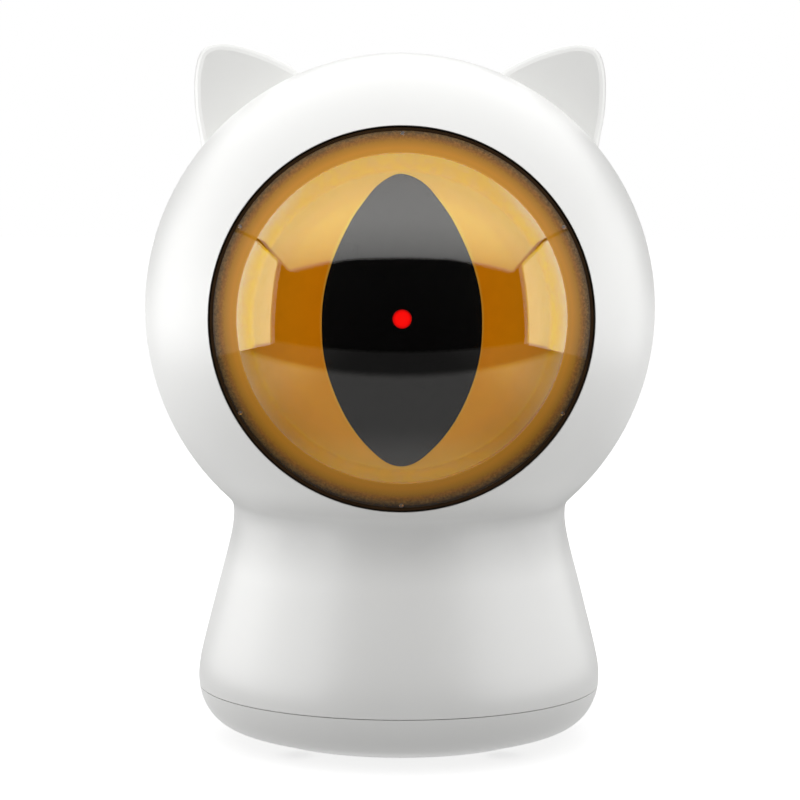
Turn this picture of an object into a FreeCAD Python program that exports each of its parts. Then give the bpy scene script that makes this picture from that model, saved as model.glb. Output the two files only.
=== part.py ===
import FreeCAD, Part
import math
import os

os.makedirs("parts", exist_ok=True)

V = FreeCAD.Vector

# ---------------------------------------------------------------------------
# Driving dimensions, millimetres.  +Z up, the eye looks along -Y, +X is the
# viewer's right.  Heights are drawn from a datum DATUM below the surface the
# toy stands on and every solid is set down by that much when it is saved, so
# the model's origin is the centre of the foot pad's underside.
# ---------------------------------------------------------------------------
HEAD_R = 40.4          # outer radius of the ball-shaped head
DATUM = 1.33
HEAD_Z = 69.86         # height of the head centre
WALL = 2.2             # housing wall
SPLIT_Y = 1.0          # plane where front and rear housings meet
SPLIT_GAP = 0.05       # half of the joint line
SEAM_Z = 10.05         # joint between the housings and the bottom cover
SEAM_GAP = 0.06        # half of that joint line
FLOOR_Z = 2.03         # underside of the bottom cover; the pad stands 0.7 proud of it
NECK_R = 26.40         # narrowest radius, just below the head
NECK_Z = 37.3
FLAT_R = 20.5          # flat of the underside

# outer profile of the body of revolution below the head: (radius, height)
BASE_PROFILE = [
    (FLAT_R, FLOOR_Z), (24.9, 3.02), (27.9, 4.0), (30.05, 5.65),
    (31.35, 7.8), (31.95, 10.05), (31.97, 12.75), (31.10, 17.25),
    (29.58, 23.25), (28.02, 29.25), (26.85, 33.9), (NECK_R, NECK_Z),
]
NECK_JOIN_R = 27.2     # radius where the neck fillet runs into the sphere

# eye stack, u = distance in front of the head centre, r = from the eye axis
HOLE_R = 28.65         # bore through the front housing
RIM_R = 29.05          # outer edge of the chamfer round the bore
DOME_R = 28.15         # rim radius of the clear dome
DOME_TIP = 36.5        # u of the dome's tip
DOME_CURVE = 54.4      # radius of curvature outside
DOME_WALL = 1.8
DOME_SEAT = 26.40      # u of the seat the dome rests on
BEZEL_R = 27.45        # inside of the dark ring behind the dome
PEGS = 6               # pins and screws round the dome
PIN_R = 27.80          # circle the locating pins stand on
SCREW_R = 29.75        # circle of the screws behind the dark ring

EYE_R = 33.2           # moving eyeball, outside
EYE_WALL = 1.6
EYE_RIM_DEG = 80.0     # how far round from its axis the eyeball reaches
IRIS_R = 33.6          # spherical face of the iris disc
IRIS_EDGE = 25.03      # radius of the iris disc
IRIS_BACK = 32.75
PUPIL_R = 33.75        # spherical face of the pupil
PUPIL_H = 22.00        # half height of the slit pupil
PUPIL_W = 11.85        # half width
PUPIL_DZ = -0.30       # the slit's middle against the eye axis
APERTURE_R = 1.40      # laser window
BEAM_Z = 0.50          # height of the beam above the eye axis

# gear trains
MOD = 0.7
PA = math.radians(20.0)
PAN_TEETH, PINION_TEETH, SECTOR_TEETH = 36, 12, 40
ADD, DED = 0.8 * MOD, 1.1 * MOD
BACKLASH = 0.12
CENTRE_PLAY = 0.05
PAN_C = MOD * (PAN_TEETH + PINION_TEETH) / 2 + CENTRE_PLAY
TILT_C = MOD * (SECTOR_TEETH + PINION_TEETH) / 2 + CENTRE_PLAY

YOKE_RI, YOKE_RO = 34.4, 36.9   # the fork follows a sphere between these
SHAFT_R = 2.0
RUN = 0.05                      # running clearance of shafts, radial

PLATE_Z0, PLATE_Z1 = 26.8, 28.8  # chassis plate
COL = 16.0                       # columns at (+-COL, +-COL)
COL_R = 3.0
PCB_Z0, PCB_Z1 = 17.6, 19.2
PORT_Z = 20.85                   # centre of the USB-C socket
CTRL_Z = 21.4                    # centre of button, switch and light
BUTTON_AZ, KNOB_AZ, LIGHT_AZ = -27.0, 27.0, 12.7
KNOB_TRAVEL = 2.4
BUTTON_TRAVEL = 0.5

H = V(0, 0, HEAD_Z)


# ---------------------------------------------------------------------------
# helpers
# ---------------------------------------------------------------------------
def cyl(r, h, at, axis=(0, 0, 1)):
    return Part.makeCylinder(r, h, V(*at), V(*axis))


def box(x0, x1, y0, y1, z0, z1):
    return Part.makeBox(x1 - x0, y1 - y0, z1 - z0, V(x0, y0, z0))


def ball(r):
    return Part.makeSphere(r, H)


def eye_cyl(r, u0, u1, x=0.0, z=0.0):
    """Cylinder about a line parallel to the eye axis, from depth u0 to u1."""
    return cyl(r, u1 - u0, (x, -u0, HEAD_Z + z), (0, -1, 0))


def x_cyl(r, x0, x1, y=0.0, z=0.0):
    return cyl(r, x1 - x0, (x0, y, HEAD_Z + z), (1, 0, 0))


def face_of(edges):
    return Part.Face(Part.Wire(Part.__sortEdges__(edges)))


def revolve_z(edges):
    return face_of(edges).revolve(V(0, 0, 0), V(0, 0, 1), 360)


def poly_edges(pts):
    vs = [V(p[0], 0, p[1]) for p in pts]
    return [Part.makeLine(vs[i], vs[(i + 1) % len(vs)]) for i in range(len(vs))]


def ring(pts):
    """Solid of revolution about the eye axis from (r, u) points."""
    s = revolve_z(poly_edges(pts))
    s.rotate(V(0, 0, 0), V(1, 0, 0), 90)
    s.translate(H)
    return s


def radial(s, az):
    """Turns a solid built along +Y round to azimuth az from the back."""
    s = s.copy()
    s.rotate(V(0, 0, 0), V(0, 0, 1), -az)
    return s


def save(name, s):
    s = s.removeSplitter() if hasattr(s, "removeSplitter") else s
    s = s.copy()
    s.translate(V(0, 0, -DATUM))
    s.exportStep("parts/" + name + ".step")


def compound(items):
    return Part.makeCompound(items)


def fuse(first, *rest):
    return first.multiFuse(list(rest)) if rest else first


# ---------------------------------------------------------------------------
# body of revolution: base, neck and head, shrunk by w all round
# ---------------------------------------------------------------------------
def offset_points(w):
    pts = BASE_PROFILE
    if w == 0:
        return list(pts)
    out = []
    for i, (r, z) in enumerate(pts):
        a = pts[max(i - 1, 0)]
        b = pts[min(i + 1, len(pts) - 1)]
        dr, dz = b[0] - a[0], b[1] - a[1]
        if i == 0:
            dr, dz = 1, 0
        if i == len(pts) - 1:
            dr, dz = 0, 1
        n = math.hypot(dr, dz)
        out.append((r - dz / n * w, z + dr / n * w))
    return out


def body_solid(w):
    pts = offset_points(w)
    R = HEAD_R - w
    rj = NECK_JOIN_R * R / HEAD_R if w else NECK_JOIN_R
    rj = max(rj, pts[-1][0] + 0.6)
    zj = HEAD_Z - math.sqrt(R * R - rj * rj)
    tx, tz = (HEAD_Z - zj) / R, rj / R
    a, b = V(pts[-1][0], 0, pts[-1][1]), V(rj, 0, zj)
    chord = (b - a).Length
    c0, c1 = a + V(0, 0, chord * 0.45), b - V(tx, 0, tz) * (chord * 0.35)

    def bez(t):
        return (a * (1 - t) ** 3 + c0 * (3 * t * (1 - t) ** 2)
                + c1 * (3 * t * t * (1 - t)) + b * t ** 3)

    base = Part.BSplineCurve()
    base.interpolate(Points=[V(r, 0, z) for r, z in pts] + [bez(0.3), bez(0.55), bez(0.8), b],
                     InitialTangent=V(1, 0, 0), FinalTangent=V(tx, 0, tz))
    low = revolve_z([
        Part.makeLine(V(0, 0, pts[0][1]), V(pts[0][0], 0, pts[0][1])),
        base.toShape(),
        Part.makeLine(b, V(0, 0, zj + 2.0)),
        Part.makeLine(V(0, 0, zj + 2.0), V(0, 0, pts[0][1])),
    ])
    head = Part.makeSphere(R)
    head.rotate(V(0, 0, 0), V(1, 0, 0), 90)      # poles on the eye axis
    head.translate(H)
    return low.fuse(head)


outer = body_solid(0.0)
inner = body_solid(WALL)
lip_o = body_solid(WALL + 0.14)
lip_i = body_solid(WALL + 0.88)

BIG = 200
above_seam = box(-BIG, BIG, -BIG, BIG, SEAM_Z + SEAM_GAP, BIG)
front_half = box(-BIG, BIG, -BIG, SPLIT_Y - SPLIT_GAP, SEAM_Z + SEAM_GAP, BIG)
rear_half = box(-BIG, BIG, SPLIT_Y + SPLIT_GAP, BIG, SEAM_Z + SEAM_GAP, BIG)

shell = outer.cut(inner)

# ---------------------------------------------------------------------------
# columns that take the cover screws from below and the chassis from above
# ---------------------------------------------------------------------------
COLZ0 = SEAM_Z + SEAM_GAP + 0.1


def column(sx, sy):
    c = cyl(COL_R, PLATE_Z0 - COLZ0, (sx * COL, sy * COL, COLZ0))
    web = box(0, 16, -1.0, 1.0, 12.6, PLATE_Z0 - 0.4)
    web.translate(V(COL * math.sqrt(2), 0, 0))
    web.rotate(V(0, 0, 0), V(0, 0, 1), math.degrees(math.atan2(sy, sx)))
    c = c.fuse(web).common(outer_slim)
    c = c.cut(cyl(0.85, 8.5, (sx * COL, sy * COL, COLZ0 - 1)))
    return c.cut(cyl(0.85, 9.0, (sx * COL, sy * COL, PLATE_Z0 - 8.0)))


outer_slim = body_solid(1.0)
front_cols = [column(-1, -1), column(1, -1)]
rear_cols = [column(-1, 1), column(1, 1)]

# ---------------------------------------------------------------------------
# two snap hooks hold the halves together over the eyeball
# ---------------------------------------------------------------------------
HOOK_X = (-9.0, 9.0)
hooks, latches = [], []
for x in HOOK_X:
    arm = box(x - 2.5, x + 2.5, -5.0, 6.6, HEAD_Z + 33.6, HEAD_Z + 34.8)
    root = box(x - 2.5, x + 2.5, -5.0, SPLIT_Y - 1.9, HEAD_Z + 34.0, HEAD_Z + 40).common(outer_slim)
    barb = box(x - 2.5, x + 2.5, 5.2, 6.6, HEAD_Z + 34.7, HEAD_Z + 35.5)
    hooks += [arm, root, barb]
    latches.append(box(x - 3.0, x + 3.0, 3.6, 4.9, HEAD_Z + 35.0, HEAD_Z + 40).common(outer_slim))

# ---------------------------------------------------------------------------
# front housing
# ---------------------------------------------------------------------------
front = shell.common(front_half)
front = fuse(front, *(front_cols + hooks))
front = front.cut(eye_cyl(HOLE_R, 5, 60))
ch_u = math.sqrt(HEAD_R ** 2 - RIM_R ** 2)
front = front.cut(ring([(HOLE_R - 0.5, ch_u - 0.55 + 0.12), (HOLE_R, ch_u - 0.43 + 0.12),
                        (RIM_R + 1.2, ch_u + 1.45), (HOLE_R - 0.5, ch_u + 4)]))
front = front.cut(compound([eye_cyl(0.6, 15, 25.3, SCREW_R * math.cos(math.radians(30 + 60 * i)),
                                    SCREW_R * math.sin(math.radians(30 + 60 * i))) for i in range(PEGS)]))
save("front_housing", front)

# ---------------------------------------------------------------------------
# ears, part of the rear housing: rounded triangles, thick at the root
# ---------------------------------------------------------------------------
EAR_Y0 = 5.5           # front face of the ears
EAR = [  # outline of the right ear seen from the front, (x, height above head centre)
    (31.3, 21.5), (31.85, 25.6), (32.35, 28.3), (32.8, 31.0), (32.98, 34.0),
    (32.9, 37.0), (32.5, 39.2), (31.65, 40.95), (30.3, 41.8), (28.5, 42.1),
    (26.3, 41.85), (23.8, 41.2), (21.3, 40.3), (18.7, 39.1), (16.3, 37.8), (11.5, 34.9),
]


def ear_face(pts, y, sx):
    vs = [V(sx * x, y, HEAD_Z + z) for x, z in pts]
    crv = Part.BSplineCurve()
    crv.interpolate(vs)
    foot = V(sx * 14.0, y, HEAD_Z + 14.0)
    return Part.Wire([crv.toShape(), Part.makeLine(vs[-1], foot), Part.makeLine(foot, vs[0])])


def sgn_shrink(pts, d):
    """Moves the outline inwards: towards the head centre side."""
    n = len(pts)
    out = []
    for i in range(n):
        a, b = pts[max(i - 1, 0)], pts[min(i + 1, n - 1)]
        dx, dz = b[0] - a[0], b[1] - a[1]
        L = math.hypot(dx, dz)
        # the outline runs anticlockwise round the tip, so inward is to the left
        out.append((pts[i][0] - dz / L * d, pts[i][1] + dx / L * d))
    return out


EAR_ROOT = (21.0, 18.5)   # the back of the ear shrinks towards this point


def toward_root(pts, k):
    return [(EAR_ROOT[0] + (x - EAR_ROOT[0]) * k, EAR_ROOT[1] + (z - EAR_ROOT[1]) * k) for x, z in pts]


def ear(sx):
    wires = []
    for y, d, k in ((0.0, 1.15, 1.0), (0.2, 0.62, 1.0), (0.7, 0.2, 1.0), (1.5, 0.0, 1.0),
                    (2.8, 0.1, 0.985), (4.2, 0.3, 0.945), (5.8, 0.5, 0.88), (7.6, 0.7, 0.79),
                    (9.4, 0.85, 0.675), (11.2, 1.0, 0.535), (12.8, 1.1, 0.385), (14.0, 1.1, 0.26)):
        wires.append(ear_face(toward_root(sgn_shrink(EAR, d), k), EAR_Y0 + y, sx))
    return Part.makeLoft(wires, True, True)


ear_r, ear_l = ear(1), ear(-1)
rear = shell.common(rear_half)
ears = fuse(ear_r, ear_l).cut(inner)
rear = fuse(rear, ears, *(rear_cols + latches))
# alignment tongue that reaches forward inside the front housing
tongue = lip_o.cut(lip_i).common(box(-BIG, BIG, SPLIT_Y - 1.4, SPLIT_Y + 2.5, 13.0, BIG))
rib = outer_slim.cut(lip_i).common(box(-BIG, BIG, SPLIT_Y + 1.0, SPLIT_Y + 2.5, 13.0, BIG))
rear = fuse(rear, tongue, rib)
for x in HOOK_X:
    rear = rear.cut(box(x - 2.9, x + 2.9, SPLIT_Y - 2.5, SPLIT_Y + 1.8, HEAD_Z + 33.0, HEAD_Z + 38.0).common(lip_o))

# control openings in the back wall, all on the height of the circuit board
port_slot = box(-4.85, 4.85, 24, 40, PORT_Z - 1.95, PORT_Z + 1.95)
port_slot = port_slot.makeFillet(1.6, [e for e in port_slot.Edges if abs(e.tangentAt(e.FirstParameter).y) > 0.9])
button_hole = radial(cyl(2.82, 14, (0, 24, CTRL_Z), (0, 1, 0)), BUTTON_AZ)
KNOB_HW = 1.3          # half width of the thumb piece
KNOB_SLOT = KNOB_HW + KNOB_TRAVEL / 2 + 0.32
knob_slot = radial(box(-KNOB_SLOT, KNOB_SLOT, 24, 40, CTRL_Z - 1.65, CTRL_Z + 1.65), KNOB_AZ)
light_hole = radial(cyl(1.05, 14, (0, 24, CTRL_Z), (0, 1, 0)), LIGHT_AZ)
# a shallow saucer round the slide switch so the thumb can get at it
saucer = radial(Part.makeSphere(9.0, V(0, 37.71, CTRL_Z + 1.94)), KNOB_AZ)
rear = rear.cut(compound([port_slot, button_hole, light_hole]))
rear = rear.cut(knob_slot).cut(saucer)
# sound and cooling slots low on the back of the head
for i in range(-3, 4):
    z = HEAD_Z - 6.0 + 0.0
    s = box(i * 4.0 - 0.6, i * 4.0 + 0.6, 30, 45, z - 5.5 + abs(i) * 0.9, z + 5.5 - abs(i) * 0.9)
    s = s.makeFillet(0.55, [e for e in s.Edges if abs(e.tangentAt(e.FirstParameter).y) > 0.9])
    rear = rear.cut(s)
save("rear_housing", rear)

# ---------------------------------------------------------------------------
# bottom cover with alignment lip and four screw wells
# ---------------------------------------------------------------------------
lipR = 29.55
low = outer.common(box(-BIG, BIG, -BIG, BIG, 0, SEAM_Z - SEAM_GAP))
hollow = revolve_z(poly_edges([(0, 3.5), (20.8, 3.5), (24.4, 4.4), (26.9, 5.2), (27.9, 6.1), (28.35, 7.4), (28.35, 20), (0, 20)]))
lip = cyl(lipR, 4.0, (0, 0, SEAM_Z - 2.0)).cut(cyl(28.35, 10, (0, 0, 5)))
cover = low.fuse(lip).cut(hollow)
wells = []
base_screws = []
for sx in (-1, 1):
    for sy in (-1, 1):
        x, y = sx * COL, sy * COL
        post = cyl(3.6, COLZ0 - 2.2 - 0.1, (x, y, 2.2)).common(outer_slim)
        cover = cover.fuse(post)
        wells.append(cyl(2.4, 6.2, (x, y, -0.5)))
        wells.append(cyl(1.15, 20, (x, y, 0)))
        sc = cyl(0.85, 10.2, (x, y, 5.7)).fuse(cyl(2.0, 1.5, (x, y, 4.2)))
        slot = fuse(box(x - 1.3, x + 1.3, y - 0.25, y + 0.25, 4.0, 5.0),
                    box(x - 0.25, x + 0.25, y - 1.3, y + 1.3, 4.0, 5.0))
        base_screws.append(sc.cut(slot))
cover = cover.cut(compound(wells))
# one round non-slip pad let into the underside, grooved in rings
PAD_R, PAD_T = 17.5, 1.1
pad = cyl(PAD_R, PAD_T, (0, 0, DATUM))
pad = pad.makeFillet(0.3, [e for e in pad.Edges if len(e.Vertexes) == 1 and e.BoundBox.ZMax < DATUM + 0.1])
for r in (5.0, 8.0, 11.0, 14.0):
    pad = pad.cut(cyl(r + 0.8, 1.35, (0, 0, DATUM - 1)).cut(cyl(r, 3.0, (0, 0, DATUM - 1.5))))
cover = cover.cut(cyl(PAD_R + 0.08, DATUM + PAD_T - FLOOR_Z + 1, (0, 0, FLOOR_Z - 1)))
save("bottom_cover", cover)
save("foot_pad", pad)
save("base_screws", compound(base_screws))

# ---------------------------------------------------------------------------
# eye front: clear dome, black gasket, dark bezel, pins and hidden screws
# ---------------------------------------------------------------------------
dome_c = DOME_TIP - DOME_CURVE


def dome_ball(r):
    return Part.makeSphere(r, V(0, -dome_c, HEAD_Z))


dome = dome_ball(DOME_CURVE).cut(dome_ball(DOME_CURVE - DOME_WALL))
dome = dome.common(eye_cyl(DOME_R, DOME_SEAT, 60))
around = [math.radians(30 + 60 * i) for i in range(PEGS)]
pin_xz = [(PIN_R * math.cos(a), PIN_R * math.sin(a)) for a in around]
screw_xz = [(SCREW_R * math.cos(a), SCREW_R * math.sin(a)) for a in around]
dome = dome.cut(compound([eye_cyl(0.24, 20, 26.85, x, z) for x, z in pin_xz]))
save("dome_lens", dome)

gask_u = math.sqrt(HEAD_R ** 2 - HOLE_R ** 2)
gasket = ring([(DOME_R + 0.04, 25.75), (HOLE_R - 0.04, 25.75), (HOLE_R - 0.04, gask_u - 0.05),
               (DOME_R + 0.04, gask_u - 0.05)])
save("dome_gasket", gasket)

bz0 = 20.65
bezel = ring([(BEZEL_R, bz0), (BEZEL_R, DOME_SEAT - 0.02), (DOME_R, DOME_SEAT - 0.02), (DOME_R, 25.65),
              (HOLE_R - 0.1, 25.65), (HOLE_R - 0.1, 25.05), (31.0, 22.0), (31.7, 21.1), (31.7, bz0)])
bezel = bezel.cut(compound([eye_cyl(0.24, 25.2, 27, x, z) for x, z in pin_xz]
                           + [eye_cyl(0.64, 10, 27, x, z) for x, z in screw_xz]))
save("eye_bezel", bezel)
save("dome_pins", compound([eye_cyl(0.24, 25.2, 26.85, x, z) for x, z in pin_xz]))
bezel_screws = []
for x, z in screw_xz:
    s = eye_cyl(0.6, bz0 - 0.1, 25.1, x, z).fuse(eye_cyl(1.1, bz0 - 0.8, bz0 - 0.01, x, z))
    bezel_screws.append(s.cut(fuse(eye_cyl(0.2, bz0 - 1, bz0 - 0.35, x - 0.35, z), eye_cyl(0.2, bz0 - 1, bz0 - 0.35, x + 0.35, z),
                                   box(x - 0.35, x + 0.35, -(bz0 - 0.35), -(bz0 - 1), HEAD_Z + z - 0.2, HEAD_Z + z + 0.2))))
save("bezel_screws", compound(bezel_screws))

# ---------------------------------------------------------------------------
# eyeball: shell, iris disc, slit pupil, laser window, module and holder
# ---------------------------------------------------------------------------
rim_u = EYE_R * math.cos(math.radians(EYE_RIM_DEG))
eye_shell = ball(EYE_R).cut(ball(EYE_R - EYE_WALL))
keep = fuse(box(-BIG, BIG, -BIG, -rim_u, -BIG, BIG), x_cyl(5.0, -60, 60),
            box(-60, 60, -8, 0, HEAD_Z - 5.0, HEAD_Z + 5.0))
eye_shell = eye_shell.common(keep)
eye_shell = eye_shell.cut(ball(40).cut(ball(IRIS_BACK - 0.05)).common(eye_cyl(IRIS_EDGE + 0.1, 0, 60)))
eye_shell = eye_shell.cut(eye_cyl(1.7, 20, 60, 0, BEAM_Z))
eye_shell = eye_shell.cut(x_cyl(SHAFT_R * 0.5 + RUN, -60, 60))
for s in (-1, 1):
    eye_shell = eye_shell.cut(eye_cyl(0.6, 20, 32.3, s * 6.8, BEAM_Z))
save("eyeball_shell", eye_shell)


def pupil_wire(d, u):
    """Slit outline, d larger all round: two flanks and rounded ends."""
    pts = []
    for zf, wf in ((1.0, 0.0), (0.965, 0.200), (0.903, 0.346), (0.841, 0.440),
                   (0.717, 0.605), (0.593, 0.728), (0.469, 0.832), (0.345, 0.912),
                   (0.221, 0.966), (0.097, 0.995), (-0.028, 1.0), (-0.152, 0.990),
                   (-0.276, 0.955), (-0.400, 0.892), (-0.524, 0.806), (-0.648, 0.697),
                   (-0.772, 0.551), (-0.834, 0.460), (-0.896, 0.352), (-0.958, 0.222),
                   (-1.0, 0.0)):
        pts.append((wf, zf))
    right = [(w * PUPIL_W, z * PUPIL_H) for w, z in pts]
    left = [(-w, z) for w, z in reversed(right[1:-1])]
    loop = right + left
    n = len(loop)
    out = []
    for i in range(n):
        a, b = loop[i - 1], loop[(i + 1) % n]
        dx, dz = b[0] - a[0], b[1] - a[1]
        L = math.hypot(dx, dz)
        out.append(V(loop[i][0] - dz / L * d, -u, HEAD_Z + PUPIL_DZ + loop[i][1] + dx / L * d))
    crv = Part.BSplineCurve()
    crv.interpolate(Points=out, PeriodicFlag=True)
    return Part.Wire(crv.toShape())


def pupil_prism(d, u0=20.0, u1=45.0):
    return Part.Face(pupil_wire(d, u0)).extrude(V(0, -(u1 - u0), 0))


iris = ball(IRIS_R).cut(ball(IRIS_BACK)).common(eye_cyl(IRIS_EDGE, 0, 60))
# bevel round the iris edge
iris_e = math.sqrt(IRIS_R ** 2 - IRIS_EDGE ** 2)
iris = iris.cut(ring([(IRIS_EDGE - 0.35, iris_e + 0.9), (IRIS_EDGE - 0.35, iris_e + 0.28),
                      (IRIS_EDGE + 0.6, iris_e - 0.42), (IRIS_EDGE + 0.6, iris_e + 0.9)]))
iris = iris.cut(pupil_prism(0.04))
save("iris_disc", iris)

pupil = ball(PUPIL_R).cut(ball(IRIS_BACK)).common(pupil_prism(0.0))
# stepped edge so the slit reads as a separate inlay
pupil_top = ball(PUPIL_R + 1).cut(ball(IRIS_R + 0.02)).cut(pupil_prism(-0.28))
pupil = pupil.cut(pupil_top).cut(eye_cyl(APERTURE_R + 0.04, 20, 60, 0, BEAM_Z))
save("pupil_insert", pupil)

window = eye_cyl(APERTURE_R, 30.6, 36, 0, BEAM_Z).common(ball(PUPIL_R - 0.05))
save("laser_window", window)

module = eye_cyl(3.0, 17.5, 30.3, 0, BEAM_Z)
module = module.cut(eye_cyl(1.6, 28.9, 31, 0, BEAM_Z))
module = module.cut(eye_cyl(3.2, 27.4, 27.8, 0, BEAM_Z).cut(eye_cyl(2.8, 27, 28, 0, BEAM_Z)))
module = module.cut(eye_cyl(2.2, 17.0, 18.0, 0, BEAM_Z))
save("laser_module", module)

holder = eye_cyl(4.7, 16.6, 30.5, 0, BEAM_Z).fuse(eye_cyl(9.2, 28.2, 31.6, 0, BEAM_Z).common(ball(EYE_R - EYE_WALL - 0.03)))
for a in (45, 135, 225, 315):
    rib_ = box(3.5, 8.6, -0.6, 0.6, 0, 6.5)       # gusset in local frame
    rib_.rotate(V(0, 0, 0), V(0, 0, 1), a)
    rib_.rotate(V(0, 0, 0), V(1, 0, 0), 90)
    rib_.translate(V(0, -22.5, HEAD_Z + BEAM_Z))
    holder = holder.fuse(rib_.common(ball(EYE_R - EYE_WALL - 0.03)))
holder = holder.cut(eye_cyl(3.04, 10, 31.0, 0, BEAM_Z)).cut(eye_cyl(1.7, 20, 60, 0, BEAM_Z))
for s in (-1, 1):
    holder = holder.cut(eye_cyl(0.65, 20, 60, s * 6.8, BEAM_Z))
save("laser_holder", holder)
hs = []
for s in (-1, 1):
    hs.append(eye_cyl(0.58, 28.0, 31.85, s * 6.8, BEAM_Z).fuse(eye_cyl(1.25, 27.3, 28.18, s * 6.8, BEAM_Z)))
save("holder_screws", compound(hs))


# ---------------------------------------------------------------------------
# gears
# ---------------------------------------------------------------------------
def gear_outline(teeth, first_tooth_deg=0.0, addendum=ADD):
    """Closed polygon of an involute spur gear about the origin, XY plane."""
    rp = MOD * teeth / 2
    rb = rp * math.cos(PA)
    ra, rf = rp + addendum, rp - DED
    inv = math.tan(PA) - PA
    half = (math.pi * MOD / 2 - BACKLASH) / (2 * rp)

    def half_angle(r):
        if r <= rb:
            return half + inv
        a = math.acos(rb / r)
        return half + inv - (math.tan(a) - a)

    r_lo = max(rf, rb)
    flank = [r_lo + (ra - r_lo) * k / 4 for k in range(5)]
    pts = []
    for i in range(teeth):
        c = math.radians(first_tooth_deg) + 2 * math.pi * i / teeth
        side = []
        if rf < rb:
            side.append((rf, half_angle(rb) * 1.0))
        side += [(r, half_angle(r)) for r in flank]
        for r, h in side:
            pts.append((r * math.cos(c - h), r * math.sin(c - h)))
        for r, h in reversed(side):
            pts.append((r * math.cos(c + h), r * math.sin(c + h)))
    return pts


def gear(teeth, width, first_tooth_deg=0.0, addendum=ADD):
    pts = [V(x, y, 0) for x, y in gear_outline(teeth, first_tooth_deg, addendum)]
    w = Part.makePolygon(pts + [pts[0]])
    return Part.Face(w).extrude(V(0, 0, width))


# pan gear: a tooth points to the pan pinion in front (-Y)
GEAR_Z0, GEAR_Z1 = 29.8, 32.8
pan_gear = gear(PAN_TEETH, GEAR_Z1 - GEAR_Z0, -90.0)
pan_gear.translate(V(0, 0, GEAR_Z0))
pan_gear = pan_gear.cut(cyl(SHAFT_R, 20, (0, 0, 20)))
web_cut = cyl(10.2, 3, (0, 0, GEAR_Z0 - 2)).cut(cyl(4.6, 20, (0, 0, 20)))
pan_gear = pan_gear.cut(web_cut)
for i in range(6):
    a = math.radians(60 * i + 30)
    pan_gear = pan_gear.cut(cyl(1.5, 10, (7.4 * math.cos(a), 7.4 * math.sin(a), 25)))
save("pan_gear", pan_gear)

pin_step = 360.0 / PINION_TEETH
pan_pinion = gear(PINION_TEETH, 3.6, 90.0 + pin_step / 2)
pan_pinion.translate(V(0, 0, GEAR_Z0 - 0.3))
pan_pinion = pan_pinion.fuse(cyl(0.75, 10.6, (0, 0, 22.6)))
pan_pinion.translate(V(0, -PAN_C, 0))
save("pan_pinion", pan_pinion)

# ---------------------------------------------------------------------------
# yoke: disc, fork arms round the eyeball, rear arm with motor clamp
# ---------------------------------------------------------------------------
M_Y = TILT_C                 # tilt motor axis behind the tilt axis
strip = ball(YOKE_RO).cut(ball(YOKE_RI))
fork = strip.common(box(-60, 60, -5.0, 5.0, HEAD_Z - 60, HEAD_Z).fuse(x_cyl(5.0, -60, 60)))
rear_arm = strip.common(box(3.5, 12.5, 0, 60, HEAD_Z - 60, HEAD_Z - 7.2))
disc = cyl(11.0, 3.0, (0, 0, HEAD_Z - 37.0)).cut(ball(YOKE_RI))
clamp = x_cyl(8.0, 6.5, 16.5, M_Y, 0)
shelf = box(3.5, 12.5, M_Y - 2.0, 40, HEAD_Z - 9.6, HEAD_Z - 7.0).common(ball(YOKE_RO))
gusset = box(7.0, 9.0, M_Y, 40, HEAD_Z - 8.0, HEAD_Z - 1.0).common(ball(YOKE_RO))
gusset = gusset.cut(cyl(11.5, 10, (5, 36.5, HEAD_Z + 4.0), (1, 0, 0)))
yoke = fuse(fork, rear_arm, disc, clamp, shelf, gusset)
yoke = yoke.cut(x_cyl(6.0, 0, 30, M_Y, 0))
yoke = yoke.cut(box(6, 17, M_Y - 0.7, M_Y + 0.7, HEAD_Z + 4, HEAD_Z + 10))   # clamp slit
yoke = yoke.cut(x_cyl(1.0, -60, 60)).cut(cyl(SHAFT_R, 40, (0, 0, 20)))
save("pan_yoke", yoke)

shaft = cyl(SHAFT_R, 11.9, (0, 0, 23.6))
shaft = shaft.cut(cyl(3, 0.8, (0, 0, 24.6)).cut(cyl(1.6, 0.8, (0, 0, 24.6))))
save("pan_shaft", shaft)
clip = cyl(3.6, 0.7, (0, 0, 24.65)).cut(cyl(1.62, 2, (0, 0, 24))).cut(box(-1.3, 1.3, 0, 6, 24, 26))
save("shaft_clip", clip)

save("tilt_pins", compound([x_cyl(1.0, 24.0, 36.9), x_cyl(1.0, -36.9, -29.4)]))

tilt_motor = fuse(x_cyl(6.0, 6.0, 20.6, M_Y), x_cyl(2.0, 20.5, 21.3, M_Y), x_cyl(2.6, 5.0, 6.1, M_Y),
                  box(5.2, 6.1, M_Y - 4.2, M_Y - 3.0, HEAD_Z - 0.8, HEAD_Z + 0.8),
                  box(5.2, 6.1, M_Y + 3.0, M_Y + 4.2, HEAD_Z - 0.8, HEAD_Z + 0.8))
tilt_motor = tilt_motor.cut(x_cyl(0.75 + RUN, 15, 30, M_Y))
save("tilt_motor", tilt_motor)

# tilt sector and pinion live in the plane x = 22 ... 25
SEC_X0, SEC_X1 = 22.0, 24.4
SEC_HALF = 33.0


def to_x_axis(s, x0):
    """Turns a gear drawn in XY (width along +Z) so it spins about X."""
    s = s.copy()
    s.rotate(V(0, 0, 0), V(1, 1, 1), 120)      # X->Y, Y->Z, Z->X
    s.translate(V(x0, 0, HEAD_Z))
    return s


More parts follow.
